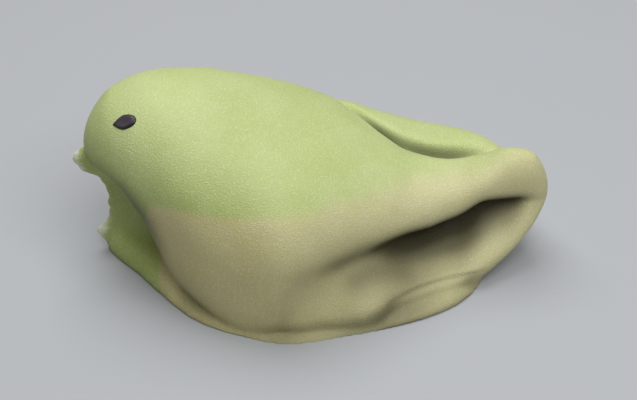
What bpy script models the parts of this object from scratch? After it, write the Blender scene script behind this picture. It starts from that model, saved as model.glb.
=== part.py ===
# Nerikiri in the form of a small bird: two pastes pressed together in a cloth and pinched
# by hand into a beak, a throat fin and a tail, with a black sesame seed for each eye.
# Metres, +Z up. The head points to -X, the tail to +X, and the flat base lies on z = 0.

import bmesh
import bpy
import numpy as np
from mathutils import Matrix, Vector
from mathutils.bvhtree import BVHTree

MM = 0.001
TINY = 1e-6

# Body, in millimetres. Each rail is read along the bird: (place on the x axis, value).
# Near is -Y, the side with the thumbed tail; far is +Y.
NOSE_X = -28.8
TAIL_X = 30.5
CREST_RAIL = ((NOSE_X, 17.4), (-27.4, 21.9), (-24.5, 24.9), (-19.3, 26.2), (-14.0, 25.4),
              (-8.0, 23.3), (-2.0, 20.9), (3.5, 18.8), (9.0, 16.2), (13.5, 14.2), (17.5, 13.8),
              (21.5, 14.8), (25.0, 16.0), (27.8, 15.6), (29.6, 13.2), (TAIL_X, 9.3))
NEAR_GIRTH = ((NOSE_X, 0.0), (-26.0, 5.9), (-20.0, 10.6), (-12.0, 15.8), (-4.0, 18.0),
              (-1.7, 17.3), (2.0, 14.9), (6.0, 12.3), (10.0, 9.8), (14.0, 7.3), (18.0, 5.3),
              (22.0, 4.0), (26.0, 2.9), (28.5, 2.2), (TAIL_X, 0.0))
FAR_GIRTH = ((NOSE_X, 0.0), (-26.0, 5.9), (-20.0, 10.6), (-12.0, 15.8), (-4.0, 18.0),
             (2.0, 16.6), (6.0, 12.8), (9.0, 8.6), (11.5, 6.0), (14.0, 4.6), (17.5, 4.0),
             (21.5, 3.3), (25.0, 3.0), (28.5, 2.4), (TAIL_X, 0.0))
NEAR_WAIST = ((NOSE_X, 17.4), (-24.0, 17.2), (-22.0, 16.6), (-20.0, 15.4), (-18.0, 14.0),
              (-16.0, 12.6), (-12.0, 10.0), (-8.0, 9.2), (-4.0, 10.6), (-1.7, 11.5), (2.0, 11.6),
              (6.0, 11.2), (10.0, 10.5), (14.0, 9.8), (18.0, 10.2), (22.0, 12.1), (26.0, 11.9),
              (28.5, 11.0), (TAIL_X, 9.3))
FAR_WAIST = ((NOSE_X, 17.4), (-24.0, 17.2), (-22.0, 16.6), (-20.0, 15.4), (-18.0, 14.0),
             (-16.0, 12.6), (-12.0, 10.0), (-8.0, 9.2), (4.0, 9.0), (11.0, 9.2), (17.5, 9.8),
             (21.5, 11.0), (25.0, 12.0), (28.5, 11.0), (TAIL_X, 9.3))
UNDER_RAIL = ((NOSE_X, 17.4), (-26.0, 14.4), (-24.5, 12.0), (-22.4, 8.0), (-21.2, 5.0),
              (-20.4, 2.4), (-19.8, 0.4), (-19.0, -1.6), (-17.3, -2.4), (-10.0, -2.5),
              (14.0, -2.5), (20.5, -1.2), (24.0, 1.3), (26.0, 2.8), (28.2, 5.0), (TAIL_X, 9.3))
ROOF_SQUARENESS = ((NOSE_X, 2.0), (-4.0, 2.1), (TAIL_X, 2.0))
BELLY_SQUARENESS = ((NOSE_X, 1.4), (-24.0, 1.3), (-21.8, 1.45), (-20.0, 1.5), (-19.2, 1.65),
                    (-17.3, 2.35), (-13.5, 3.5), (-11.5, 4.8), (-9.0, 7.0), (-2.0, 7.0),
                    (16.0, 6.0), (TAIL_X, 2.0))
BODY_CELLS = 25
SECTION_STEPS = 240

# Tail: the back narrows to a round roll on a thin web. The thumb has scooped a hollow under
# the near side and left a shelf; the far side keeps a high shoulder.
ROLL_DEPTH = ((NOSE_X, 40.0), (-7.0, 40.0), (-1.7, 9.0), (2.0, 7.0), (6.0, 5.6), (10.0, 3.8),
              (14.0, 2.7), (18.0, 2.4), (26.0, 2.4), (TAIL_X, 1.0))
ROLL_SQUARENESS = 2.4
WEB_HALF = ((NOSE_X, 0.0), (-6.0, 17.4), (-4.0, 17.3), (-1.7, 16.7), (2.0, 13.4), (6.0, 9.0),
            (10.0, 5.0), (14.0, 1.6), (18.0, 0.7), (25.0, 0.8), (TAIL_X, 0.0))
SHELF_GIRTH = ((NOSE_X, 0.0), (-10.0, 6.0), (-6.0, 10.0), (-4.0, 13.6), (-2.8, 15.5),
               (-1.7, 16.3), (0.0, 16.7), (2.0, 16.8), (6.0, 16.6), (8.4, 15.7), (10.5, 14.0),
               (13.5, 12.3), (17.0, 10.7), (21.0, 9.0), (24.0, 7.5), (27.0, 5.6), (28.5, 4.4),
               (TAIL_X, 0.0))
SHELF_Z = ((NOSE_X, 12.0), (-4.0, 12.0), (2.0, 10.5), (6.0, 8.5), (10.0, 6.1), (14.0, 4.9),
           (18.0, 4.5), (22.0, 5.9), (24.5, 6.5), (28.0, 8.8), (TAIL_X, 9.3))
SHELF_SHARPNESS = ((NOSE_X, 2.4), (2.0, 2.4), (6.0, 3.2), (10.0, 3.8), (14.0, 4.4), (18.0, 4.8),
                   (24.0, 5.5), (TAIL_X, 5.5))
SHOULDER_GIRTH = ((NOSE_X, 0.0), (-6.0, 6.0), (2.0, 17.8), (9.0, 17.0), (17.0, 15.2),
                  (21.3, 12.8), (24.0, 10.2), (28.0, 5.2), (TAIL_X, 0.0))
SHOULDER_Z = ((NOSE_X, 12.0), (0.0, 15.4), (4.0, 15.6), (9.0, 14.3), (13.5, 13.3),
              (17.0, 12.9), (21.3, 13.1), (24.0, 12.7), (27.0, 11.4), (TAIL_X, 9.3))
SHOULDER_SQUARENESS = 4.5
FOLD_SHARPNESS = 12

# Crease between the tail's roll and the far shoulder.
CREASE_DEPTH = ((NOSE_X, 0.0), (0.0, 0.0), (4.0, 1.3), (9.0, 2.3), (17.0, 2.3), (22.0, 1.5),
                (26.0, 0.0), (TAIL_X, 0.0))
CREASE_Y = ((NOSE_X, 15.0), (1.0, 15.0), (5.0, 11.5), (9.0, 7.4), (11.5, 5.8), (17.0, 4.6),
            (24.0, 3.8), (TAIL_X, 2.0))
CREASE_WIDTH = 2.0
CREASE_FADE = 2.0

# Base skirt: the paste squeezed out along the foot of the bird.
SKIRT_FRONT_X = -27.6
SKIRT_REAR_X = 23.5
SKIRT_GIRTH = ((SKIRT_FRONT_X, 0.0), (-26.3, 2.3), (-23.3, 5.4), (-20.4, 8.8), (-15.0, 14.3),
               (-10.0, 16.9), (-3.0, 18.6), (4.5, 17.2), (10.9, 15.4), (16.0, 13.2),
               (20.5, 9.6), (SKIRT_REAR_X, 0.0))
SKIRT_HEIGHT = ((SKIRT_FRONT_X, 2.0), (-24.0, 4.0), (-20.0, 3.6), (-16.5, 2.6), (-12.0, 1.6),
                (-5.0, 0.9), (2.0, 0.8), (8.0, 1.3), (12.0, 2.0), (16.0, 2.3), (20.0, 1.6),
                (SKIRT_REAR_X, 0.6))
SKIRT_SQUARENESS = 2.4
SKIRT_CELLS = 12

# Pinched fin: beak above, torn throat edge, low tip at the base. Each pair is (z, value).
FIN_TOP_Z = 18.0
FIN_EDGE_X = ((-0.4, -26.6), (0.6, -27.2), (1.6, -28.2), (2.6, -28.8), (3.3, -28.9),
              (3.9, -28.3), (4.5, -27.6), (5.6, -27.1), (7.2, -26.9), (9.6, -26.9),
              (11.2, -27.4), (12.3, -28.3), (13.1, -29.8), (13.9, -30.5), (15.2, -30.8),
              (16.6, -29.0), (FIN_TOP_Z, -26.6))
FIN_REAR_X = -18.0
FIN_EDGE_HALF = 0.5
FIN_FLARE = ((0.0, 0.34), (2.5, 0.16), (8.0, 0.13), (12.0, 0.15), (14.5, 0.18),
             (FIN_TOP_Z, 0.15))
FIN_FLARE_POWER = 1.5
FIN_REAR_ROUNDING = 12
FIN_RINGS = 28
FIN_SEGMENTS = 24
TEAR_WAVES = ((0.12, 2.3, 0.0), (0.15, 3.7, 1.0))

# Border of the two pastes in side view: (x, z, how much it drops for each mm towards the far side).
BORDER = ((-19.3, -5.0, 0.0), (-19.3, 0.0, 0.0), (-19.9, 3.0, 0.0), (-20.5, 5.5, 0.05),
          (-20.6, 7.5, 0.1), (-20.4, 9.5, 0.2), (-19.4, 12.2, 0.28), (-16.0, 13.2, 0.28),
          (-8.0, 13.7, 0.28), (2.0, 13.4, 0.32), (9.0, 12.2, 0.45), (14.0, 11.6, 0.7),
          (17.5, 11.8, 0.75), (21.5, 13.2, 0.7), (25.0, 15.8, 0.55), (36.0, 26.0, 0.4))
BORDER_STEPS = 40
BORDER_GAP = 0.3
CUT_REACH = 40.0
CUT_SIDE = 22.0
CUT_SLICES = 9

# Eyes: one black sesame seed on each side of the head, its point to the beak.
SEED_LENGTH = 3.2
SEED_WIDTH = 1.95
SEED_THICKNESS = 0.9
SEED_TIP = 0.6
SEED_TIP_POWER = 1.5
SEED_SIDES = 10
SEED_ROWS = 5
EYE_AIMS = ((-22.3, -5.2, 24.0), (-22.0, 7.4, 22.2))
EYE_POINT_BACK = -1.0
EYE_POINT_INWARD = 0.17
EYE_POINT_DOWN = -0.36

GREEN_COLOUR = (0.54, 0.66, 0.27, 1.0)
CREAM_COLOUR = (0.64, 0.60, 0.38, 1.0)
PASTE_ROUGHNESS = 0.75
SHARP_ANGLE = 0.8


def spline(stations):
    # Smooth curve through the stations that never swings past them.
    place, value = np.array(stations, float).T
    rise = np.diff(value) / np.diff(place)
    slope = np.concatenate(([rise[0]], np.zeros(len(rise) - 1), [rise[-1]]))
    steady = rise[:-1] * rise[1:] > 0
    slope[1:-1][steady] = (2 * rise[:-1] * rise[1:] / (rise[:-1] + rise[1:] + TINY**2))[steady]

    def at(where):
        where = np.clip(where, place[0], place[-1])
        i = np.clip(np.searchsorted(place, where, side="right") - 1, 0, len(place) - 2)
        step = place[i + 1] - place[i]
        t = (where - place[i]) / step
        start = (2 * t**3 - 3 * t**2 + 1) * value[i] + (t**3 - 2 * t**2 + t) * step * slope[i]
        stop = (3 * t**2 - 2 * t**3) * value[i + 1] + (t**3 - t**2) * step * slope[i + 1]
        return start + stop

    return at


def turn_of(place, first, last):
    # Angle from 0 at the first end to pi at the last, so that rails meet the ends roundly.
    return np.arccos(np.clip(1 - 2 * (place - first) / (last - first), -1, 1))


def rail(stations, first, last):
    curve = spline([(turn_of(place, first, last), value) for place, value in stations])
    return lambda place: curve(turn_of(place, first, last))


def paste_ball(cells):
    # A ball of even square cells.
    ball = bmesh.new()
    bmesh.ops.create_cube(ball, size=2)
    bmesh.ops.subdivide_edges(ball, edges=ball.edges[:], cuts=cells - 1, use_grid_fill=True)
    points = np.array([vertex.co for vertex in ball.verts])
    points = np.tan(points * np.pi / 4)
    points /= np.linalg.norm(points, axis=1)[:, None]
    return ball, points


def squared(side, up, squareness):
    # A round direction moved out onto a squarer section.
    size = (np.abs(side)**squareness + np.abs(up)**squareness)**(1 / squareness)
    size = np.maximum(size, TINY)
    return side / size, up / size


def ramp(value):
    value = np.clip(value, 0, 1)
    return value * value * (3 - 2 * value)


def bow(height, squareness):
    # Half-width of a unit arch at a height from 0 to 1.
    return np.clip(1 - np.clip(height, 0, 1)**squareness, 0, 1)**(1 / squareness)


def body_rails(x):
    stations = {
        "crest": CREST_RAIL,
        "near_girth": NEAR_GIRTH,
        "far_girth": FAR_GIRTH,
        "near_waist": NEAR_WAIST,
        "far_waist": FAR_WAIST,
        "under": UNDER_RAIL,
        "roof": ROOF_SQUARENESS,
        "belly": BELLY_SQUARENESS,
        "roll_depth": ROLL_DEPTH,
        "web": WEB_HALF,
        "shelf": SHELF_GIRTH,
        "shelf_z": SHELF_Z,
        "shelf_sharpness": SHELF_SHARPNESS,
        "shoulder": SHOULDER_GIRTH,
        "shoulder_z": SHOULDER_Z,
        "crease_depth": CREASE_DEPTH,
        "crease_y": CREASE_Y,
    }
    return {name: rail(stations[name], NOSE_X, TAIL_X)(x)[:, None] for name in stations}


def half_section(at, near, turn):
    # Half-width and height of the section at each turn, from the crest (0) to the base (pi).
    above = turn < np.pi / 2
    side, up = squared(np.sin(turn), np.cos(turn), np.where(above, at["roof"], at["belly"]))
    waist = np.where(near, at["near_waist"], at["far_waist"])
    girth = np.where(near, at["near_girth"], at["far_girth"])
    crown = at["crest"] - waist
    z = np.maximum(waist + np.where(above, crown, waist - at["under"]) * up, 0)
    roll_up = girth * bow((z - waist) / np.maximum(crown, TINY), at["roof"])
    drop = (waist - z) / np.maximum(at["roll_depth"], TINY)
    roll_down = np.maximum(girth * bow(drop, ROLL_SQUARENESS), at["web"])
    roll = np.where(z > waist, roll_up, np.minimum(roll_down, girth))
    scoop = at["shelf"] / (1 + (z / np.maximum(at["shelf_z"], TINY))**at["shelf_sharpness"])
    low = np.maximum(at["under"], 0)
    rise = (z - low) / np.maximum(at["shoulder_z"] - low, TINY)
    slab = np.where(near, scoop, at["shoulder"] * bow(rise, SHOULDER_SQUARENESS))
    half = (roll**FOLD_SHARPNESS + slab**FOLD_SHARPNESS)**(1 / FOLD_SHARPNESS)
    half = half * np.where(above, 1, np.abs(side))
    half[:, 0] = 0
    return half, z


def body_points(points):
    # Each vertex walks down the section at its x from the crest, by equal shares of the length,
    # so that the vertices lie evenly over the shoulder and the hollow too.
    x = (NOSE_X + TAIL_X) / 2 + (TAIL_X - NOSE_X) / 2 * points[:, 0]
    at = body_rails(x)
    near = points[:, 1:2] < 0
    half, height = half_section(at, near, np.linspace(0, np.pi, SECTION_STEPS)[None, :])
    step = np.hypot(np.diff(half, axis=1), np.diff(height, axis=1))
    walked = np.concatenate((np.zeros((len(x), 1)), np.cumsum(step, axis=1)), axis=1)
    goal = walked[:, -1] * np.arctan2(np.abs(points[:, 1]), points[:, 2]) / np.pi
    row = np.arange(len(x))
    after = np.clip((walked < goal[:, None]).sum(axis=1), 1, SECTION_STEPS - 1)
    share = (goal - walked[row, after - 1]) / np.maximum(step[row, after - 1], TINY)
    share = np.clip(share, 0, 1)
    y = half[row, after - 1] * (1 - share) + half[row, after] * share
    z = height[row, after - 1] * (1 - share) + height[row, after] * share
    y = np.where(near[:, 0], -y, y)
    across = (y - at["crease_y"][:, 0]) / CREASE_WIDTH
    cut = at["crease_depth"][:, 0] * np.exp(-across**2)
    z -= cut * ramp((z - at["far_waist"][:, 0]) / CREASE_FADE)
    return np.stack((x, y, z), axis=1)


def skirt_points(points):
    x = (SKIRT_FRONT_X + SKIRT_REAR_X) / 2 + (SKIRT_REAR_X - SKIRT_FRONT_X) / 2 * points[:, 0]
    side, up = squared(points[:, 1], points[:, 2], SKIRT_SQUARENESS)
    y = rail(SKIRT_GIRTH, SKIRT_FRONT_X, SKIRT_REAR_X)(x) * side
    z = rail(SKIRT_HEIGHT, SKIRT_FRONT_X, SKIRT_REAR_X)(x) * up
    return np.stack((x, y, np.maximum(z, 0)), axis=1)


def fin_points(points):
    z = FIN_TOP_Z * (points[:, 2] + 1) / 2
    edge = spline(FIN_EDGE_X)(z)
    edge = edge + sum(depth * np.sin(z * pitch + start) for depth, pitch, start in TEAR_WAVES)
    back = (1 + points[:, 0]) / 2
    x = edge + (FIN_REAR_X - edge) * back
    depth = np.maximum(x - edge, 0)
    half = np.minimum(FIN_EDGE_HALF, depth) + spline(FIN_FLARE)(z) * depth**FIN_FLARE_POWER
    half = half * np.sqrt(np.clip((1 - back) * FIN_REAR_ROUNDING, 0, 1))
    half = np.where(back < TINY, 0, half)
    y = np.sign(points[:, 1]) * half * (np.abs(points[:, 1]) > TINY)
    return np.stack((x, y, z), axis=1)


def fin_column():
    column = bmesh.new()
    bmesh.ops.create_cone(column, cap_ends=True, segments=FIN_SEGMENTS, radius1=1, radius2=1, depth=2)
    upright = [edge for edge in column.edges if abs(edge.verts[0].co.z - edge.verts[1].co.z) > 1]
    bmesh.ops.subdivide_edges(column, edges=upright, cuts=FIN_RINGS)
    points = np.array([vertex.co for vertex in column.verts])
    return column, points


def add_object(name, mesh_data, points):
    for vertex, point in zip(mesh_data.verts, points):
        vertex.co = Vector(point) * MM
    bmesh.ops.triangulate(mesh_data, faces=mesh_data.faces[:])
    bmesh.ops.recalc_face_normals(mesh_data, faces=mesh_data.faces[:])
    mesh = bpy.data.meshes.new(name)
    mesh_data.to_mesh(mesh)
    mesh_data.free()
    thing = bpy.data.objects.new(name, mesh)
    bpy.context.collection.objects.link(thing)
    return thing


def remove_object(thing):
    bpy.data.objects.remove(thing, do_unlink=True)


def boolean(thing, operation, others):
    group = bpy.data.collections.new("others")
    bpy.context.scene.collection.children.link(group)
    for other in others:
        group.objects.link(other)
    modifier = thing.modifiers.new("cut", "BOOLEAN")
    modifier.operation = operation
    modifier.solver = "MANIFOLD"
    modifier.operand_type = "COLLECTION"
    modifier.collection = group
    view = bpy.context.evaluated_depsgraph_get()
    result = bpy.data.meshes.new_from_object(thing.evaluated_get(view))
    thing.modifiers.clear()
    thing.data = result
    bpy.data.collections.remove(group)


def body():
    ball, points = paste_ball(BODY_CELLS)
    return add_object("body", ball, body_points(points))


def skirt():
    ball, points = paste_ball(SKIRT_CELLS)
    return add_object("skirt", ball, skirt_points(points))


def fin():
    column, points = fin_column()
    return add_object("fin", column, fin_points(points))


def border_cutter(offset):
    # Everything above and ahead of the border, moved off it by the offset.
    corners = np.array(BORDER)
    step = np.linalg.norm(np.diff(corners[:, :2], axis=0), axis=1)
    reach = np.concatenate(([0], np.cumsum(step)))
    steps = np.linspace(0, reach[-1], BORDER_STEPS)
    line = np.stack([spline(list(zip(reach, values)))(steps) for values in corners.T], axis=1)
    run = np.gradient(line[:, :2], axis=0)
    run /= np.linalg.norm(run, axis=1)[:, None]
    line[:, :2] += offset * np.stack((run[:, 1], -run[:, 0]), axis=1)
    corner_x = (line[-1][0], -CUT_REACH, -CUT_REACH)
    corner_z = (CUT_REACH, CUT_REACH, line[0][1])
    outline = list(line) + [(x, z, 0) for x, z in zip(corner_x, corner_z)]
    prism = bmesh.new()
    rim = [prism.verts.new((x, -CUT_SIDE, z)) for x, z, lean in outline]
    side = prism.faces.new(rim)
    grown = bmesh.ops.extrude_face_region(prism, geom=[side])["geom"]
    for vertex in (item for item in grown if isinstance(item, bmesh.types.BMVert)):
        vertex.co.y = CUT_SIDE
    across = [edge for edge in prism.edges if edge.calc_length() == 2 * CUT_SIDE]
    bmesh.ops.subdivide_edges(prism, edges=across, cuts=CUT_SLICES - 1)
    bmesh.ops.triangulate(prism, faces=prism.faces[:], quad_method="FIXED")
    lean = {(round(x, 3), round(z, 3)): lean for x, z, lean in outline}
    points = [(v.co.x, v.co.y, v.co.z - lean[round(v.co.x, 3), round(v.co.z, 3)] * v.co.y)
              for v in prism.verts]
    return add_object("border_cutter", prism, points)


def seed(paste, aim):
    # A flat teardrop, half sunk in the paste.
    grain = bmesh.new()
    bmesh.ops.create_uvsphere(grain, u_segments=SEED_SIDES, v_segments=SEED_ROWS, radius=1)
    points = np.array([vertex.co for vertex in grain.verts])
    taper = 1 - SEED_TIP * np.clip(points[:, 0], 0, 1)**SEED_TIP_POWER
    points = points * np.array((SEED_LENGTH / 2, SEED_WIDTH / 2, SEED_THICKNESS / 2))
    points[:, 1] *= taper
    points[:, 2] *= taper
    skin = BVHTree.FromObject(paste, bpy.context.evaluated_depsgraph_get())
    place, normal = skin.find_nearest(Vector(aim) * MM)[:2]
    point = Vector((EYE_POINT_BACK, -np.sign(aim[1]) * EYE_POINT_INWARD, EYE_POINT_DOWN))
    along = (point - point.dot(normal) * normal).normalized()
    turn = Matrix((along, normal.cross(along), normal)).transposed()
    return add_object("seed", grain, [turn @ Vector(p) + place / MM for p in points])


def finish_node(paste, name, colour):
    material = bpy.data.materials.new(name)
    material.use_nodes = True
    surface = material.node_tree.nodes["Principled BSDF"]
    surface.inputs["Base Color"].default_value = colour
    surface.inputs["Roughness"].default_value = PASTE_ROUGHNESS
    surface.inputs["Metallic"].default_value = 0.0
    paste.name = name
    paste.data.name = name
    paste.data.materials.clear()
    paste.data.materials.append(material)
    paste.data.shade_smooth()
    paste.data.set_sharp_from_angle(angle=SHARP_ANGLE)


def centre_on_base(nodes):
    corners = np.array([vertex.co for node in nodes for vertex in node.data.vertices])
    low, high = corners.min(axis=0), corners.max(axis=0)
    middle = Vector(((low[0] + high[0]) / 2, (low[1] + high[1]) / 2, low[2]))
    for node in nodes:
        node.data.transform(Matrix.Translation(-middle))


def build():
    for thing in list(bpy.data.objects):
        remove_object(thing)
    green = body()
    lumps = [skirt(), fin()] + [seed(green, aim) for aim in EYE_AIMS]
    boolean(green, "UNION", lumps)
    cream = bpy.data.objects.new("cream_paste", green.data.copy())
    bpy.context.collection.objects.link(cream)
    front, rear = border_cutter(-BORDER_GAP / 2), border_cutter(BORDER_GAP / 2)
    boolean(green, "INTERSECT", [front])
    boolean(cream, "DIFFERENCE", [rear])
    for helper in lumps + [front, rear]:
        remove_object(helper)
    finish_node(green, "green_paste", GREEN_COLOUR)
    finish_node(cream, "cream_paste", CREAM_COLOUR)
    centre_on_base([green, cream])


build()
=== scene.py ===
# A hand-formed bean paste bird: one skin of green and cream paste, and two sesame seed eyes,
# on a pale floor in soft light.
import math

import bmesh
import bpy
import numpy as np
from mathutils import Matrix, Vector, noise
from mathutils.bvhtree import BVHTree


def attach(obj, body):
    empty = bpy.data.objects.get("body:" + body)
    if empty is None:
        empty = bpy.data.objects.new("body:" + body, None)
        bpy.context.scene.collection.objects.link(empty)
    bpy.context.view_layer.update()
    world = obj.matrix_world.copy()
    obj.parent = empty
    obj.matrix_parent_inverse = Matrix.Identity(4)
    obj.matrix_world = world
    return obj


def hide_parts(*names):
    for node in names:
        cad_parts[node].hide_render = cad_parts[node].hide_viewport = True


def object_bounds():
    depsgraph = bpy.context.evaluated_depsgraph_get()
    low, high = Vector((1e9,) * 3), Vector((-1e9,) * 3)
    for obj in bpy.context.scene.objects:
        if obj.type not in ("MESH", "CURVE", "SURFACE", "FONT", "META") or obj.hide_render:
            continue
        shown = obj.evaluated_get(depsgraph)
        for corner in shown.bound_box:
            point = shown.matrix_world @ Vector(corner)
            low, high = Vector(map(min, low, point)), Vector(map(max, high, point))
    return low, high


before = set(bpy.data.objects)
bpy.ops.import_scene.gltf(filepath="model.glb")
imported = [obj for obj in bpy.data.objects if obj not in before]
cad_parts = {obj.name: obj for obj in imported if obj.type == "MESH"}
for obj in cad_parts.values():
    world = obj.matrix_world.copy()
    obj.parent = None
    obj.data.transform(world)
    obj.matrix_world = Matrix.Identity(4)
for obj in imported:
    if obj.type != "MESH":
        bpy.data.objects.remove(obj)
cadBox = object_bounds()
mm = 0.001

# shaping helpers


def smoothCurve(stations):
    # a curve through the stations that never swings past them
    place, value = np.array(stations, float).T
    rise = np.diff(value) / np.diff(place)
    slope = np.concatenate(([rise[0]], np.zeros(len(rise) - 1), [rise[-1]]))
    steady = rise[:-1] * rise[1:] > 0
    slope[1:-1][steady] = (2 * rise[:-1] * rise[1:] / (rise[:-1] + rise[1:] + 1e-12))[steady]

    def at(where):
        where = np.clip(where, place[0], place[-1])
        i = np.clip(np.searchsorted(place, where, side="right") - 1, 0, len(place) - 2)
        step = place[i + 1] - place[i]
        t = (where - place[i]) / step
        start = (2 * t**3 - 3 * t**2 + 1) * value[i] + (t**3 - 2 * t**2 + t) * step * slope[i]
        stop = (3 * t**2 - 2 * t**3) * value[i + 1] + (t**3 - t**2) * step * slope[i + 1]
        return start + stop

    return at


def rail(stations, first, last):
    # read by the angle from one end to the other, so that it meets both ends roundly
    def turnOf(place):
        return np.arccos(np.clip(1 - 2 * (place - first) / (last - first), -1, 1))

    curve = smoothCurve([(turnOf(place), value) for place, value in stations])
    return lambda place: curve(turnOf(place))


def ramp(value, first=0, last=1):
    # 0 up to first, 1 from last on, smooth between
    share = np.clip((value - first) / (last - first), 0, 1)
    return share * share * (3 - 2 * share)


def bow(height, squareness):
    # 1 at the foot, rounding over to 0 at the top
    return np.clip(1 - np.clip(height, 0, 1)**squareness, 0, 1)**(1 / squareness)


def pasteBall(cells):
    # a ball of even square cells
    ball = bmesh.new()
    bmesh.ops.create_cube(ball, size=2)
    bmesh.ops.subdivide_edges(ball, edges=ball.edges[:], cuts=cells - 1, use_grid_fill=True)
    points = np.tan(np.array([v.co for v in ball.verts]) * math.pi / 4)
    return ball, points / np.linalg.norm(points, axis=1)[:, None]


def moveVerts(bm, points):
    for vert, point in zip(bm.verts, points):
        vert.co = point
    bmesh.ops.recalc_face_normals(bm, faces=bm.faces[:])
    return bm


def addPiece(name, bm):
    mesh = bpy.data.meshes.new(name)
    bm.to_mesh(mesh)
    bm.free()
    piece = bpy.data.objects.new(name, mesh)
    bpy.context.scene.collection.objects.link(piece)
    return piece


# the lumps of paste, in millimetres: head towards -X, tail towards +X

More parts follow.
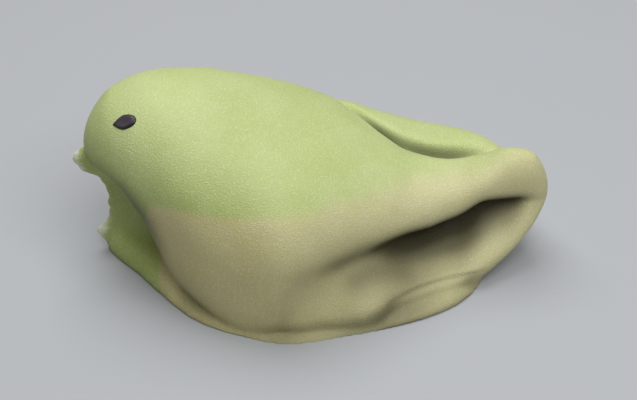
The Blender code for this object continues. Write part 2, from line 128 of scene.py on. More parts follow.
body = {
    "noseX": -28.8,
    "tailX": 30.5,
    "cells": 84,
    "sectionSteps": 200,
    "chunk": 6000,              # vertices worked out at a time
    # every list of stations is a rail: place along X, and the value there
    "crest": ((-28.8, 17.4), (-27.4, 21.9), (-24.5, 24.9), (-19.3, 26.2), (-14.0, 25.4), (-8.0, 23.3),
              (-2.0, 20.9), (3.5, 18.8), (9.0, 16.2), (13.5, 14.2), (17.5, 13.8), (21.5, 14.8),
              (25.0, 16.0), (27.8, 15.6), (29.6, 13.2), (30.5, 9.3)),
    "girth": ((-28.8, 0.0), (-26.0, 5.9), (-20.0, 10.6), (-12.0, 15.8), (-4.0, 18.0), (-1.7, 17.3),
              (2.0, 14.9), (6.0, 12.3), (10.0, 9.8), (14.0, 7.3), (18.0, 5.3), (22.0, 4.0),
              (26.0, 2.9), (28.5, 2.2), (30.5, 0.0)),
    "farGirth": ((-28.8, 0.0), (-26.0, 5.9), (-20.0, 10.6), (-12.0, 15.8), (-4.0, 18.0), (2.0, 16.6),
                 (6.0, 12.8), (9.0, 8.6), (11.5, 6.0), (14.0, 4.6), (17.5, 4.0), (21.5, 3.3),
                 (25.0, 3.0), (28.5, 2.4), (30.5, 0.0)),
    "waist": ((-28.8, 17.4), (-24.0, 17.2), (-22.0, 16.6), (-20.0, 15.4), (-18.0, 14.0),
              (-16.0, 12.6), (-12.0, 10.0), (-8.0, 9.2), (-4.0, 10.6), (-1.7, 11.5), (2.0, 11.6),
              (6.0, 11.2), (10.0, 10.5), (14.0, 9.8), (18.0, 10.2), (22.0, 12.1), (26.0, 11.9),
              (28.5, 11.0), (30.5, 9.3)),
    "farWaist": ((-28.8, 17.4), (-24.0, 17.2), (-22.0, 16.6), (-20.0, 15.4), (-18.0, 14.0),
                 (-16.0, 12.6), (-12.0, 10.0), (-8.0, 9.2), (4.0, 9.0), (11.0, 9.2), (17.5, 9.8),
                 (21.5, 11.0), (25.0, 12.0), (28.5, 11.0), (30.5, 9.3)),
    "under": ((-28.8, 17.4), (-26.0, 14.4), (-24.5, 12.0), (-22.4, 8.0), (-21.2, 5.0), (-20.4, 2.4),
              (-19.8, 0.4), (-19.0, -1.6), (-17.3, -2.4), (-10.0, -2.5), (14.0, -2.5), (20.5, -1.2),
              (24.0, 1.3), (26.0, 2.8), (28.2, 5.0), (30.5, 9.3)),
    # how square each section is above and below the waist
    "roof": ((-28.8, 2.0), (-4.0, 2.1), (30.5, 2.0)),
    "belly": ((-28.8, 1.4), (-24.0, 1.3), (-21.8, 1.45), (-20.0, 1.5), (-19.2, 1.65), (-17.3, 2.35),
              (-13.5, 3.5), (-11.5, 4.8), (-9.0, 7.0), (-2.0, 7.0), (16.0, 6.0), (30.5, 2.0)),
    # the tail's roll and the thin web under it
    "rollDepth": ((-28.8, 40.0), (-7.0, 40.0), (-1.7, 9.0), (2.0, 7.0), (6.0, 5.6), (10.0, 3.8),
                  (14.0, 2.7), (18.0, 2.4), (26.0, 2.4), (30.5, 1.0)),
    "webHalf": ((-28.8, 0.0), (-6.0, 17.4), (-4.0, 17.3), (-1.7, 16.7), (2.0, 13.4), (6.0, 9.0),
                (10.0, 5.0), (14.0, 1.6), (18.0, 0.7), (25.0, 0.8), (30.5, 0.0)),
    "lipSquareness": 2.4,
    # the thumbed hollow on the near side, and the high shoulder on the far side
    "shelf": ((-28.8, 0.0), (-10.0, 6.0), (-6.0, 10.0), (-4.0, 13.6), (-2.8, 15.5), (-1.7, 16.3),
              (0.0, 16.7), (2.0, 16.8), (6.0, 16.6), (8.4, 15.7), (10.5, 14.0), (13.5, 12.3),
              (17.0, 10.7), (21.0, 9.0), (24.0, 7.5), (27.0, 5.6), (28.5, 4.4), (30.5, 0.0)),
    "shelfZ": ((-28.8, 12.0), (-4.0, 12.0), (2.0, 10.5), (6.0, 8.5), (10.0, 6.1), (14.0, 4.9),
               (18.0, 4.5), (22.0, 5.9), (24.5, 6.5), (28.0, 8.8), (30.5, 9.3)),
    "shelfSharpness": ((-28.8, 2.4), (2.0, 2.4), (6.0, 3.2), (10.0, 3.8), (14.0, 4.4), (18.0, 4.8),
                       (24.0, 5.5), (30.5, 5.5)),
    "shoulder": ((-28.8, 0.0), (-6.0, 6.0), (2.0, 17.8), (9.0, 17.0), (17.0, 15.2), (21.3, 12.8),
                 (24.0, 10.2), (28.0, 5.2), (30.5, 0.0)),
    "shoulderZ": ((-28.8, 12.0), (0.0, 15.4), (4.0, 15.6), (9.0, 14.3), (13.5, 13.3), (17.0, 12.9),
                  (21.3, 13.1), (24.0, 12.7), (27.0, 11.4), (30.5, 9.3)),
    "shoulderSquareness": 4.5,
    "foldSharpness": 12,        # how sharply the roll folds into the shelf or shoulder
    # the crease behind the spine
    "creaseDepth": ((-28.8, 0.0), (0.0, 0.0), (4.0, 1.3), (9.0, 2.3), (17.0, 2.3), (22.0, 1.5),
                    (26.0, 0.0), (30.5, 0.0)),
    "creaseY": ((-28.8, 15.0), (1.0, 15.0), (5.0, 11.5), (9.0, 7.4), (11.5, 5.8), (17.0, 4.6),
                (24.0, 3.8), (30.5, 2.0)),
    "creaseWidth": 1.15,
    "creaseFade": 2.0,          # height over the waist in which it reaches its depth
}


def halfSection(at, near, turn):
    # half-width and height at each turn, from the crest (0) to the base (pi)
    above = turn < math.pi / 2
    squareness = np.where(above, at["roof"], at["belly"])
    side, up = np.sin(turn), np.cos(turn)
    size = (np.abs(side)**squareness + np.abs(up)**squareness)**(1 / squareness)
    side, up = side / size, up / size
    waist = np.where(near, at["waist"], at["farWaist"])
    girth = np.where(near, at["girth"], at["farGirth"])
    reach = np.where(above, at["crest"] - waist, waist - at["under"])
    z = np.maximum(waist + reach * up, 0)
    rollUp = girth * bow((z - waist) / np.maximum(at["crest"] - waist, 1e-6), at["roof"])
    drop = (waist - z) / np.maximum(at["rollDepth"], 1e-6)
    rollDown = np.maximum(girth * bow(drop, body["lipSquareness"]), at["webHalf"])
    roll = np.where(z > waist, rollUp, np.minimum(rollDown, girth))
    scoop = at["shelf"] / (1 + (z / np.maximum(at["shelfZ"], 1e-6))**at["shelfSharpness"])
    low = np.maximum(at["under"], 0)
    rise = (z - low) / np.maximum(at["shoulderZ"] - low, 1e-6)
    slab = np.where(near, scoop, at["shoulder"] * bow(rise, body["shoulderSquareness"]))
    fold = body["foldSharpness"]
    half = (roll**fold + slab**fold)**(1 / fold) * np.where(above, 1, np.abs(side))
    half[:, 0] = 0
    return half, z


def bodyPoints(points):
    # each vertex walks down its section from the crest by equal shares of the length
    first, last = body["noseX"], body["tailX"]
    x = (first + last) / 2 + (last - first) / 2 * points[:, 0]
    rails = {name: line for name, line in body.items() if isinstance(line, tuple)}
    at = {name: rail(line, first, last)(x)[:, None] for name, line in rails.items()}
    near = points[:, 1:2] < 0
    turn = np.linspace(0, math.pi, body["sectionSteps"])[None, :]
    half, height = halfSection(at, near, turn)
    step = np.hypot(np.diff(half, axis=1), np.diff(height, axis=1))
    walked = np.concatenate((np.zeros((len(x), 1)), np.cumsum(step, axis=1)), axis=1)
    goal = walked[:, -1] * np.arctan2(np.abs(points[:, 1]), points[:, 2]) / math.pi
    row = np.arange(len(x))
    after = np.clip((walked < goal[:, None]).sum(axis=1), 1, turn.shape[1] - 1)
    share = np.clip((goal - walked[row, after - 1]) / np.maximum(step[row, after - 1], 1e-9), 0, 1)
    y = half[row, after - 1] * (1 - share) + half[row, after] * share
    z = height[row, after - 1] * (1 - share) + height[row, after] * share
    y = np.where(near[:, 0], -y, y)
    across = (y - at["creaseY"][:, 0]) / body["creaseWidth"]
    above = ramp(z - at["farWaist"][:, 0], 0, body["creaseFade"])
    z -= at["creaseDepth"][:, 0] * np.exp(-across**2) * above
    return np.stack((x, y, z), axis=1)


def shapeBody():
    ball, points = pasteBall(body["cells"])
    parts = np.array_split(points, max(1, len(points) // body["chunk"]))
    return moveVerts(ball, np.concatenate([bodyPoints(part) for part in parts]))


foot = {                        # the bead of paste squeezed out along the base
    "frontX": -27.6,
    "rearX": 23.5,
    "cells": 48,
    "squareness": 2.4,
    "girth": ((-27.6, 0.0), (-26.3, 2.3), (-23.3, 5.4), (-20.4, 8.8), (-15.0, 14.3), (-10.0, 16.9),
              (-3.0, 18.6), (4.5, 17.2), (10.9, 15.4), (16.0, 13.2), (20.5, 9.6), (23.5, 0.0)),
    "height": ((-27.6, 2.0), (-24.0, 4.0), (-20.0, 3.6), (-16.5, 2.6), (-12.0, 1.6), (-5.0, 0.9),
               (2.0, 0.8), (8.0, 1.3), (12.0, 2.0), (16.0, 2.3), (20.0, 1.6), (23.5, 0.6)),
}


def shapeFoot():
    ball, points = pasteBall(foot["cells"])
    first, last = foot["frontX"], foot["rearX"]
    x = (first + last) / 2 + (last - first) / 2 * points[:, 0]
    side, up = points[:, 1], points[:, 2]
    power = foot["squareness"]
    size = np.maximum((np.abs(side)**power + np.abs(up)**power)**(1 / power), 1e-9)
    y = rail(foot["girth"], first, last)(x) * side / size
    z = rail(foot["height"], first, last)(x) * up / size
    return moveVerts(ball, np.stack((x, y, np.maximum(z, 0)), axis=1))


fin = {                         # pinched beak, throat edge and low tip
    "topZ": 18.0,
    "rearX": -18.0,
    # z, x of the free edge
    "edge": ((-0.4, -26.6), (0.6, -27.2), (1.6, -28.2), (2.6, -28.8), (3.3, -28.9), (3.9, -28.3),
             (4.5, -27.6), (5.6, -27.1), (7.2, -26.9), (9.6, -26.9), (11.2, -27.4), (12.3, -28.3),
             (13.1, -29.8), (13.9, -30.5), (15.2, -30.8), (16.6, -29.0), (18.0, -26.6)),
    "edgeHalf": 0.5,
    # it widens towards the breast
    "flare": ((0.0, 0.34), (2.5, 0.16), (8.0, 0.13), (12.0, 0.15), (14.5, 0.18), (18.0, 0.15)),
    "flarePower": 1.5,
    "rearRound": 12,            # its rear rounds off in the last twelfth of its length
    "rings": 110,
    "segments": 96,
    # ripples of the torn edge: depth, pitch, start
    "tear": ((0.12, 2.3, 0.0), (0.15, 3.7, 1.0), (0.1, 8.3, 0.4), (0.06, 14.9, 2.0)),
    # how crumbly the edge is at each height, ahead of x, within the half-width and reach
    "crumbly": ((0.0, 0.2), (1.5, 0.5), (3.3, 1.3), (5.0, 0.45), (9.0, 0.25), (12.0, 0.3), (14.0, 1.1),
                (15.6, 1.1), (16.6, 0.0), (18.0, 0.0)),
    "crumblyX": -22.0,
    "crumblyHalf": 2.0,
    "crumblyReach": 1.9,
}


def finEdge(z):
    # the torn free edge, seen from the side
    ragged = sum(depth * np.sin(z * pitch + start) for depth, pitch, start in fin["tear"])
    return smoothCurve(fin["edge"])(z) + ragged


def shapeFin():
    column = bmesh.new()
    bmesh.ops.create_cone(column, cap_ends=True, segments=fin["segments"], radius1=1, radius2=1, depth=2)
    upright = [edge for edge in column.edges if abs(edge.verts[0].co.z - edge.verts[1].co.z) > 1]
    bmesh.ops.subdivide_edges(column, edges=upright, cuts=fin["rings"])
    points = np.array([v.co for v in column.verts])
    z = fin["topZ"] * (points[:, 2] + 1) / 2
    edge = finEdge(z)
    back = (1 + points[:, 0]) / 2
    x = edge + (fin["rearX"] - edge) * back
    depth = np.maximum(x - edge, 0)
    inside = np.maximum(x - smoothCurve(fin["edge"])(z), 0)     # from the edge before it tore
    half = np.minimum(fin["edgeHalf"], depth) + smoothCurve(fin["flare"])(z) * inside**fin["flarePower"]
    half = half * np.sqrt(np.clip((1 - back) * fin["rearRound"], 0, 1))
    y = np.where(np.abs(points[:, 1]) > 1e-6, np.sign(points[:, 1]) * half, 0)
    y[back < 1e-6] = 0
    return moveVerts(column, np.stack((x, y, z), axis=1))


# one skin over the lumps

skinSettings = {
    "voxel": 0.28,
    "smoothing": 5,
    # rounds of smoothing over each hollow: side, from x, to x, above z, below z, rounds
    "soften": ((-1, -4.5, 14.5, 2.4, 10.8, 30), (-1, -3.5, 13.5, 3.0, 10.2, 30),
               (-1, -2.5, 12.5, 3.6, 9.6, 30), (1, -8.0, 4.0, 1.2, 9.0, 25),
               (1, -6.5, 2.5, 1.8, 8.0, 25)),
    "softenY": 3.0,             # and further than this from the middle
    "softThroat": (-17.0, 3.0, 17.0, 10),   # ahead of x, above z, below z, rounds
    # waves and dents of the fingers, and crumbs on torn edges: depth, waves per mm, pattern's shift
    "handWave": (0.10, 0.13, (0, 0, 0)),
    "handDent": (0.05, 0.34, (7, 3, 1)),
    "crumb": (0.14, 1.3, (0, 0, 0)),
    "baseKeep": 0.6,            # height in which they fade towards the flat base
    # brings the tail's end to the end of the solids
    "tailShift": cadBox[1][0] / mm - body["tailX"],
}


def voxelSkin(lumps):
    mesh = bpy.data.meshes.new("lumps")
    joined = bmesh.new()
    for lump in lumps:
        lump.to_mesh(mesh)
        joined.from_mesh(mesh)
        lump.free()
    bpy.data.meshes.remove(mesh)
    bmesh.ops.scale(joined, vec=(mm, mm, mm), verts=joined.verts[:])
    rough = addPiece("lumps", joined)
    remesh = rough.modifiers.new("skin", "REMESH")
    remesh.mode = "VOXEL"
    remesh.voxel_size = skinSettings["voxel"] * mm
    view = bpy.context.evaluated_depsgraph_get()
    bm = bmesh.new()
    bm.from_mesh(rough.evaluated_get(view).to_mesh())
    bpy.data.objects.remove(rough)
    bmesh.ops.scale(bm, vec=(1 / mm, 1 / mm, 1 / mm), verts=bm.verts[:])
    return bm


def evenVerts(bm, verts, rounds):
    for i in range(rounds):
        bmesh.ops.smooth_vert(bm, verts=verts, factor=0.5, use_axis_x=True, use_axis_y=True,
                              use_axis_z=True)


def smoothSkin(bm):
    evenVerts(bm, bm.verts[:], skinSettings["smoothing"])
    clear = skinSettings["softenY"]
    for side, first, last, low, high, rounds in skinSettings["soften"]:
        hollow = [v for v in bm.verts if first < v.co.x < last and low < v.co.z < high]
        evenVerts(bm, [v for v in hollow if v.co.y * side > clear], rounds)
    first, low, high, rounds = skinSettings["softThroat"]
    throat = [v for v in bm.verts if v.co.x < first and low < v.co.z < high and not tornShare(v.co)]
    evenVerts(bm, throat, rounds)


def tornShare(point):
    # about 1 where the free edge of the fin and the beak is most torn, 0 away from it
    if point.x > fin["crumblyX"] or point.z > fin["topZ"] or abs(point.y) > fin["crumblyHalf"]:
        return 0.0
    edge = float(finEdge(np.array([point.z]))[0])
    inside = max(point.x - edge, 0) / fin["crumblyReach"]
    middle = 1 - (abs(point.y) / fin["crumblyHalf"])**2
    return max(0.0, 1 - inside) * middle * float(smoothCurve(fin["crumbly"])(point.z))


footCrease = {                  # the narrow crease along the tail's foot
    "line": ((6.0, -17.0), (8.4, -15.5), (10.5, -13.5), (13.3, -11.5), (16.6, -9.9), (19.5, -9.0),
             (21.8, -8.6)),     # x, y
    "reachX": (5.0, 23.0),
    "nearY": -7.0,
    "topZ": 3.0,
    "depth": 0.3,
    "half": 0.45,
}
creaseLine = smoothCurve(footCrease["line"])


def footCreaseDepth(point):
    first, last = footCrease["reachX"]
    if not first < point.x < last or point.y >= footCrease["nearY"] or point.z >= footCrease["topZ"]:
        return 0.0
    away = (point.y - float(creaseLine(point.x))) / footCrease["half"]
    return footCrease["depth"] * math.exp(-away * away)


def wobble(point, work):
    depth, pitch, shift = skinSettings[work]
    return depth * noise.noise(point * pitch + Vector(shift))


def handWork(bm):
    # the unevenness of fingers, the crease, and crumbs where the paste has torn
    bm.normal_update()
    moves = []
    for vert in bm.verts:
        point = vert.co
        push = wobble(point, "handWave") + wobble(point, "handDent")
        push += tornShare(point) * wobble(point, "crumb") - footCreaseDepth(point)
        keep = min(max(point.z / skinSettings["baseKeep"], 0), 1)
        moves.append(vert.normal * push * keep)
    for vert, move in zip(bm.verts, moves):
        vert.co += move
        vert.co.z = max(vert.co.z, 0)


border = {                      # where green paste meets cream paste
    # seen from the side: x, z, lean, blend
    "line": ((-30.0, 4.0, 0.28, 0.9), (-20.8, 4.0, 0.28, 0.9), (-20.5, 9.5, 0.28, 0.9),
             (-19.4, 12.7, 0.28, 1.3), (-16.0, 13.2, 0.28, 1.3), (-12.0, 12.9, 0.28, 1.4),
             (-7.0, 12.8, 0.28, 1.5), (2.0, 13.0, 0.28, 2.2), (9.0, 12.6, 0.32, 3.0),
             (14.0, 12.5, 0.5, 3.8), (17.5, 12.9, 0.6, 4.2), (21.5, 14.0, 0.6, 5.0),
             (25.0, 16.2, 0.5, 6.0), (31.0, 21.0, 0.4, 7.0)),
    # ahead of this line, z to x, the fin and throat are green to the base
    "front": ((0.0, -19.3), (3.0, -19.9), (8.0, -21.9), (12.0, -22.3), (18.0, -19.5)),
    "frontBlend": 0.9,
}


def greenShare(points):
    # 1 in the green paste, 0 in the cream
    x, y, z = points.T
    line = np.array(border["line"])
    edgeZ, lean, blend = [smoothCurve(line[:, (0, i)])(x) for i in (1, 2, 3)]
    over = ramp(z + lean * y - edgeZ, -blend, blend)
    ahead = ramp(smoothCurve(border["front"])(z) - x, -border["frontBlend"], border["frontBlend"])
    return np.maximum(over, ahead)


shade = {                       # painted shade: how much each vertex darkens, in the folds, under the head and along the base
    "rays": 20,                 # a fan of views from each vertex, each out to the reach
    "turn": 2.39996,            # golden angle between them
    "lift": 0.05,
    "reach": 25.0,
    "below": 0.3,               # a view that ends on the floor counts for less
    "rounds": 30,               # of evening out
    # closed views count for less ahead of the breast and on the far side
    "finX": (-19.0, -16.0),
    "finShare": 0.4,
    "farY": (-1.5, 1.5),
    "farShare": 0.8,
    # painted shade on the head's underside, where it turns away from above and behind
    "throatX": (-12.0, -17.0),
    "above": (0.6, 0.2, 0.77),
    "turned": (0.30, 0.95),
    "throatShare": 0.29,
    # lines along the folds: x, y, z, share, reach
    "throat": ((-27.4, -3.8, 17.4, 0.22, 3.0), (-25.8, -5.8, 16.2, 0.34, 4.2),
               (-24.2, -7.6, 14.6, 0.41, 5.4), (-22.4, -8.8, 12.6, 0.42, 6.0),
               (-21.2, -9.4, 10.4, 0.40, 5.6), (-20.4, -9.6, 8.0, 0.34, 4.4),
               (-19.6, -9.8, 5.4, 0.27, 3.0), (-18.6, -10.2, 2.5, 0.2, 2.0)),
    "valley": ((0.0, -16.5, 5.0, 0.08, 5.0), (5.0, -14.0, 4.5, 0.15, 5.0),
               (11.0, -11.5, 3.5, 0.15, 5.0), (17.0, -9.5, 2.5, 0.06, 4.5)),
    "low": ((0.0, 0.08, 3.0), (9.0, 0.12, 5.5)),    # painted shade along the base: x, share, height
}


def evenOut(bm, share):
    # blend each vertex with its neighbours, some rounds over
    ends = np.array([[v.index for v in edge.verts] for edge in bm.edges])
    start, stop = ends.T
    count = np.bincount(ends.ravel(), minlength=len(share)) + 1
    for i in range(shade["rounds"]):
        around = np.bincount(start, share[stop], len(share)) + np.bincount(stop, share[start], len(share))
        share = (share + around) / count
    return share


def hollowShare(bm):
    # how much of its view is closed by the sweet itself
    tree = BVHTree.FromBMesh(bm)
    rays = shade["rays"]
    turns = [(math.sqrt((i + 0.5) / rays), i * shade["turn"]) for i in range(rays)]
    fan = [Vector((r * math.cos(a), r * math.sin(a), math.sqrt(1 - r * r))) for r, a in turns]
    share = np.zeros(len(bm.verts))
    for i, vert in enumerate(bm.verts):
        side = vert.normal.orthogonal().normalized()
        turn = Matrix((side, vert.normal.cross(side), vert.normal)).transposed()
        start = vert.co + vert.normal * shade["lift"]
        for ray in fan:
            ray = turn @ ray
            if tree.ray_cast(start, ray, shade["reach"])[0] is not None:
                share[i] += 1 / rays
            elif ray.z < 0:
                share[i] += shade["below"] / rays
    return evenOut(bm, share)


def foldShare(points, line):
    # the share set along a fold, less with the distance from it
    line = np.array(line)
    most = np.zeros(len(points))
    for start, stop in zip(line[:-1], line[1:]):
        run = stop[:3] - start[:3]
        along = np.clip((points - start[:3]) @ run / (run @ run), 0, 1)[:, None]
        place = start + along * (stop - start)
        away = ((points - place[:, :3])**2).sum(axis=1) / place[:, 4]**2
        most = np.maximum(most, place[:, 3] * np.exp(-away))
    return most


def throatShare(bm, x):
    # painted shade under the head, the same on both sides of the bird
    facing = np.array([v.normal for v in bm.verts])
    facing[:, 1] = -np.abs(facing[:, 1])
    turned = ramp(-(facing @ np.array(shade["above"])), *shade["turned"])
    return shade["throatShare"] * turned * ramp(x, *shade["throatX"])


def lowShare(x, z):
    # painted shade along the base, wider and deeper under the tail
    (bodyX, bodyShare, bodyTop), (tailX, tailShare, tailTop) = shade["low"]
    rear = ramp(x, bodyX, tailX)
    return bodyShare * ramp(z, bodyTop, 0) * (1 - rear) + tailShare * ramp(z, tailTop, 0) * rear


def shadeShare(bm):
    # painted shade: the share of the shade colour each vertex takes, from its closed views, the throat,
    # the folds and the base
    points = np.array([v.co for v in bm.verts])
    x, y, z = points.T
    far = ramp(y, *shade["farY"])
    farLess = 1 - far * (1 - shade["farShare"])
    finLess = shade["finShare"] + (1 - shade["finShare"]) * ramp(x, *shade["finX"])
    share = hollowShare(bm) * farLess * finLess
    fold = foldShare(np.stack((x, -np.abs(y), z), axis=1), shade["throat"]) * farLess
    share = np.maximum(share, evenOut(bm, np.maximum(throatShare(bm, x), fold)))
    return share + foldShare(points, shade["valley"]) * (1 - far) + lowShare(x, z)


def addAttribute(mesh, name, values):
    attribute = mesh.attributes.new(name, "FLOAT", "POINT")
    attribute.data.foreach_set("value", np.asarray(values, np.float32))


def makeSkin():
    bm = voxelSkin([shapeBody(), shapeFoot(), shapeFin()])
    print("skin remeshed:", len(bm.verts))
    smoothSkin(bm)
    handWork(bm)
    bm.normal_update()
    shares = {
        "greenShare": greenShare(np.array([v.co for v in bm.verts])),
        "tornShare": [tornShare(v.co) for v in bm.verts],
        "shadeShare": shadeShare(bm),
    }
    shift = Vector((skinSettings["tailShift"], 0, 0))
    bmesh.ops.translate(bm, vec=shift, verts=bm.verts[:])
    bmesh.ops.scale(bm, vec=(mm, mm, mm), verts=bm.verts[:])
    bmesh.ops.recalc_face_normals(bm, faces=bm.faces[:])
    skin = addPiece("pasteSkin", bm)
    skin.data.shade_smooth()
    for name, values in shares.items():
        addAttribute(skin.data, name, values)
    return skin


# sesame seed eyes

seed = {
    "length": 3.2,
    "width": 1.95,
    "thickness": 0.9,
    "segments": 48,
    "rings": 32,
    "taper": 0.62,              # how far the pointed end narrows
    "taperPower": 1.6,
    "thin": 0.6,                # how much thinner it gets there
    "blunt": 0.10,              # squares off the other end
    "dish": 0.42,               # hollow in the middle of each flat side
    "dishReach": 0.72,          # share of the way out at which it ends
    "rim": (0.62, 0.92),        # and at which the dark rim begins and is full
    "sink": 0.12,               # how deep its middle plane lies in the paste
    "point": (-1.0, 0.17, -0.36),   # where its pointed end looks, mirrored for the far eye
    "aims": {"seedNear": (-22.3, -5.2, 24.0), "seedFar": (-22.0, 7.4, 22.2)},
}


def seedShape(x, y, z):
    # a flat drop with its point towards +X
    taper = 1 - seed["taper"] * max(x, 0)**seed["taperPower"]
    blunt = 1 + seed["blunt"] * max(-x, 0) * y * y
    dish = 1 - seed["dish"] * max(0, 1 - (math.hypot(x, y) / seed["dishReach"])**2)
    thick = dish * (1 - seed["thin"] * (1 - taper))
    return Vector((x * blunt * seed["length"], y * taper * seed["width"],
                   z * thick * seed["thickness"])) / 2


def makeSeed(name, skin, aim):
    bm = bmesh.new()
    bmesh.ops.create_uvsphere(bm, u_segments=seed["segments"], v_segments=seed["rings"], radius=1)
    tree = BVHTree.FromObject(skin, bpy.context.evaluated_depsgraph_get())
    place, normal = tree.find_nearest(Vector(aim) * mm)[:2]
    point = Vector(seed["point"])
    point.y *= -math.copysign(1, aim[1])
    along = (point - point.dot(normal) * normal).normalized()
    turn = Matrix((along, normal.cross(along), normal)).transposed()
    sink = Vector((0, 0, seed["sink"]))
    first, last = seed["rim"]
    rim = []
    for vert in bm.verts:
        out = math.hypot(vert.co.x, vert.co.y)
        rim.append(min(max((out - first) / (last - first), 0), 1))
        vert.co = turn @ (seedShape(*vert.co) - sink) * mm + place
    piece = addPiece(name, bm)      # its faces still point outwards, as the sphere's did
    piece.data.shade_smooth()
    addAttribute(piece.data, "rimShare", rim)
    return piece


# finishes


class Wire:
    # a socket that can be added to, subtracted from and multiplied
    def __init__(self, finish, socket):
        self.finish = finish
        self.socket = socket

    def maths(self, operation, first, second):
        return self.finish.node("ShaderNodeMath", {"operation": operation}, {0: first, 1: second})

    def __add__(self, other):
        return self.maths("ADD", self, other)

    def __radd__(self, other):
        return self.maths("ADD", other, self)

    def __sub__(self, other):
        return self.maths("SUBTRACT", self, other)

    def __rsub__(self, other):
        return self.maths("SUBTRACT", other, self)

    def __mul__(self, other):
        return self.maths("MULTIPLY", self, other)

    def __rmul__(self, other):
        return self.maths("MULTIPLY", other, self)


class Finish:
    def __init__(self, name):
        self.material = bpy.data.materials.new(name)
        self.material.use_nodes = True
        self.tree = self.material.node_tree
        self.surface = self.tree.nodes["Principled BSDF"]

    def plug(self, socket, value):
        if isinstance(value, Wire):
            self.tree.links.new(value.socket, socket)
        else:
            socket.default_value = value

    def node(self, kind, settings, values, output=0):
        made = self.tree.nodes.new(kind)
        for name, value in settings.items():
            setattr(made, name, value)
        for key, value in values.items():
            self.plug(made.inputs[key], value)
        return Wire(self, made.outputs[output])

    def place(self):
        return self.node("ShaderNodeTexCoord", {}, {}, "Object")

    def attribute(self, name):
        return self.node("ShaderNodeAttribute", {"attribute_name": name}, {}, "Fac")

    def noise(self, where, scale, detail, roughness=0.5):
        return self.node("ShaderNodeTexNoise", {}, {"Vector": where, "Scale": scale, "Detail": detail,
                                                    "Roughness": roughness})

    def blend(self, share, first, second):
        return self.node("ShaderNodeMix", {"data_type": "RGBA"}, {0: share, 6: first, 7: second}, 2)

    def window(self, value, limits):
        # 0 below the first limit, 1 above the second
        return self.node("ShaderNodeMapRange", {"interpolation_type": "SMOOTHSTEP"},
                         {0: value, 1: limits[0], 2: limits[1], 3: 0.0, 4: 1.0})

    def relief(self, height, strength, distance):
        bump = self.node("ShaderNodeBump", {}, {"Height": height, "Strength": strength,
                                                "Distance": distance})
        self.set(Normal=bump)

    def set(self, **values):
        for name, value in values.items():
            self.plug(self.surface.inputs[name.replace("_", " ")], value)


pasteLook = {
    "green": (0.53, 0.61, 0.27, 1),
    # painted shade: the deeper green and the warmer cream are darker copies of the paste for its shaded
    # places
    "shadedGreen": (0.42, 0.50, 0.155, 1),
    "cream": (0.63, 0.59, 0.34, 1),
    "shadedCream": (0.60, 0.525, 0.25, 1),
    "pale": (0.80, 0.82, 0.60, 1),          # grains of bean
    "gap": (0.26, 0.28, 0.09, 1),           # between the grains
    "torn": (0.77, 0.80, 0.60, 1),
    "shade": (0.05, 0.042, 0.016, 1),       # painted shade in the folds, under the head and along the base
    # noise: scale, detail and, other than 0.5, roughness
    "grain": (4600, 3.0, 0.6),
    "fine": (9000, 2.0),
    "mottle": (170, 2.0),
    # in metres, painted shade: the green darkens low down towards the front, the cream darkens and warms
    # over the breast
    "greenShadeZ": (0.015, 0.0225),
    "greenShadeShare": 0.75,
    "breastShadeX": (-0.012, 0.010),
    "creamShadeShare": 0.6,
    "patches": (0.35, 0.68),                # left by kneading
    "patchShare": (0.28, 0.3),              # in the green, in the cream
    # how much the grain and the mottle fray the border, and the grain the torn edge
    "fray": (0.35, 0.6),
    "border": (0.08, 0.92),
    "tornFray": 0.5,
    "tornEdge": (0.15, 0.7),
    "tornShare": 0.9,
    # the grains' size and roundness, and which of them are pale, palest and dark
    "beanScale": 4300,
    "beanRound": (0.1, 0.62),
    "paleBeans": (0.3, 0.75),
    "paleShare": 0.24,
    "palestBeans": (0.8, 0.92),
    "palestShare": 0.2,
    "darkBeans": (0.15, 0.6),
    "gapShare": 0.2,
    "shadeEdge": (0.15, 0.52),
    "shadeShare": 0.97,
    "roughness": (0.52, 0.70),
    "dull": (0.3, 0.8),
    "reliefShare": (0.7, 0.3),              # of the bean grains, of the fine grain
    "relief": (1.0, 0.00005),               # strength, distance
    "softness": {"Subsurface_Weight": 0.12, "Subsurface_Radius": (1.0, 0.8, 0.4),
                 "Subsurface_Scale": 0.0012, "Specular_IOR_Level": 0.35},
}


def beanGrains(f, where, colour):
    # each grain a little paler or darker than the paste, with dark gaps between
    look = pasteLook
    cells = {"Vector": where, "Scale": look["beanScale"]}
    inside = 1 - f.window(f.node("ShaderNodeTexVoronoi", {}, cells, "Distance"), look["beanRound"])
    kind = f.node("ShaderNodeTexVoronoi", {}, cells, "Color")
    pale = f.window(kind, look["paleBeans"]) * look["paleShare"]
    palest = f.window(kind, look["palestBeans"]) * look["palestShare"]
    colour = f.blend(inside * (pale + palest), colour, look["pale"])
    dark = (1 - inside * f.window(kind, look["darkBeans"])) * look["gapShare"]
    return inside, f.blend(dark, colour, look["gap"])


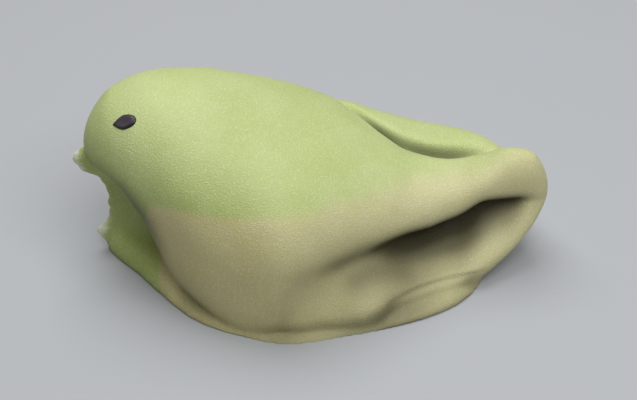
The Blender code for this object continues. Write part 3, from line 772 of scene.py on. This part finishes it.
def pasteFinish():
    look = pasteLook
    f = Finish("beanPaste")
    where = f.place()
    grain = f.noise(where, *look["grain"])
    fine = f.noise(where, *look["fine"])
    mottle = f.noise(where, *look["mottle"])
    patch = f.window(mottle, look["patches"])
    x = f.node("ShaderNodeSeparateXYZ", {}, {0: where}, "X")
    z = f.node("ShaderNodeSeparateXYZ", {}, {0: where}, "Z")
    # painted shade: the paste darkens towards the front, the green low down and the cream over the breast
    breast = 1 - f.window(x, look["breastShadeX"])
    low = (1 - f.window(z, look["greenShadeZ"])) * breast
    inGreen, inCream = look["patchShare"]
    green = f.blend(patch * inGreen + low * look["greenShadeShare"], look["green"], look["shadedGreen"])
    cream = f.blend(patch * inCream + breast * look["creamShadeShare"], look["cream"], look["shadedCream"])
    byGrain, byMottle = look["fray"]
    share = f.attribute("greenShare") + (grain - 0.5) * byGrain + (mottle - 0.5) * byMottle
    colour = f.blend(f.window(share, look["border"]), cream, green)
    bean, colour = beanGrains(f, where, colour)
    torn = f.window(f.attribute("tornShare") + (grain - 0.5) * look["tornFray"], look["tornEdge"])
    colour = f.blend(torn * look["tornShare"], colour, look["torn"])
    # painted shade: the colour darkens towards the shade colour where the shade share is high
    paintedShade = f.window(f.attribute("shadeShare"), look["shadeEdge"]) * look["shadeShare"]
    smooth, rough = look["roughness"]
    f.set(Base_Color=f.blend(paintedShade, colour, look["shade"]),
          Roughness=rough - f.window(fine, look["dull"]) * (rough - smooth))
    byBean, byFine = look["reliefShare"]
    f.relief(bean * byBean + fine * byFine, *look["relief"])
    f.set(**look["softness"])
    return f.material


seedLook = {
    "middle": (0.055, 0.040, 0.052, 1),
    "rim": (0.012, 0.009, 0.011, 1),
    "husk": (1800, 3.0),        # noise: scale, detail
    "fray": 0.6,                # how much it frays the rim
    "edge": (0.1, 0.9),
    "relief": (0.6, 0.00004),
    "roughness": 0.45,
}


def seedFinish():
    look = seedLook
    f = Finish("blackSesame")
    husk = f.noise(f.place(), *look["husk"])
    rim = f.window(f.attribute("rimShare") + (husk - 0.5) * look["fray"], look["edge"])
    f.set(Base_Color=f.blend(rim, look["middle"], look["rim"]), Roughness=look["roughness"])
    f.relief(husk, *look["relief"])
    return f.material


# the object

skin = makeSkin()
skin.data.materials.append(pasteFinish())
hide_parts("green_paste", "cream_paste")
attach(skin, "root")
print("skin done")

seedMaterial = seedFinish()
for name, aim in seed["aims"].items():
    piece = makeSeed(name, skin, aim)
    piece.data.materials.append(seedMaterial)
    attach(piece, "root")
print("seeds done")

# floor, light and camera

stage = {                       # in metres
    "floorSize": 3.0,
    "floor": (0.41, 0.42, 0.44, 1),
    "floorRoughness": 0.85,
    "sky": (1.0, 0.94, 0.76, 1),
    "skyPower": 0.08,
    # place, size, power
    "lights": {"keyFront": ((0.12, -0.19, 0.40), 0.34, 1.45),
               "keyBack": ((-0.05, 0.14, 0.43), 0.34, 1.55)},
    "lightColour": (0.97, 0.985, 1.0),
}


def lookAt(thing, place, target):
    aim = Vector(target) - Vector(place)
    thing.matrix_world = Matrix.Translation(place) @ aim.to_track_quat("-Z", "Y").to_matrix().to_4x4()


def makeStage():
    bm = bmesh.new()
    bmesh.ops.create_grid(bm, x_segments=1, y_segments=1, size=stage["floorSize"] / 2)
    floor = addPiece("floor", bm)
    f = Finish("floorPaint")
    f.set(Base_Color=stage["floor"], Roughness=stage["floorRoughness"])
    floor.data.materials.append(f.material)
    world = bpy.data.worlds.new("room")
    world.use_nodes = True
    sky = world.node_tree.nodes["Background"].inputs
    sky["Color"].default_value = stage["sky"]
    sky["Strength"].default_value = stage["skyPower"]
    bpy.context.scene.world = world
    for name, (place, size, power) in stage["lights"].items():
        lamp = bpy.data.lights.new(name, "AREA")
        lamp.size = size
        lamp.energy = power
        lamp.color = stage["lightColour"]
        light = bpy.data.objects.new(name, lamp)
        bpy.context.scene.collection.objects.link(light)
        lookAt(light, place, (0, 0, 0))


cameraView = {
    "elevation": 38.5,          # degrees above the horizontal, square to the bird's side
    "distance": 170,            # mm, as are the next two
    "clipStart": 5,
    "target": (0.7, 10.1, 0.0),
    "focalPixels": 1200,
    "framePixels": 637,
    "sensor": 36,
}


def makeCamera():
    lens = bpy.data.cameras.new("camera")
    lens.sensor_width = cameraView["sensor"]
    lens.lens = cameraView["focalPixels"] / cameraView["framePixels"] * cameraView["sensor"]
    lens.clip_start = cameraView["clipStart"] * mm
    camera = bpy.data.objects.new("camera", lens)
    bpy.context.scene.collection.objects.link(camera)
    target = Vector(cameraView["target"]) + Vector((skinSettings["tailShift"], 0, 0))
    angle = math.radians(cameraView["elevation"])
    away = Vector((0, -math.cos(angle), math.sin(angle))) * cameraView["distance"]
    lookAt(camera, (target + away) * mm, target * mm)
    bpy.context.scene.camera = camera
    bpy.context.scene.view_settings.view_transform = "Standard"


makeStage()
makeCamera()
print("stage done")
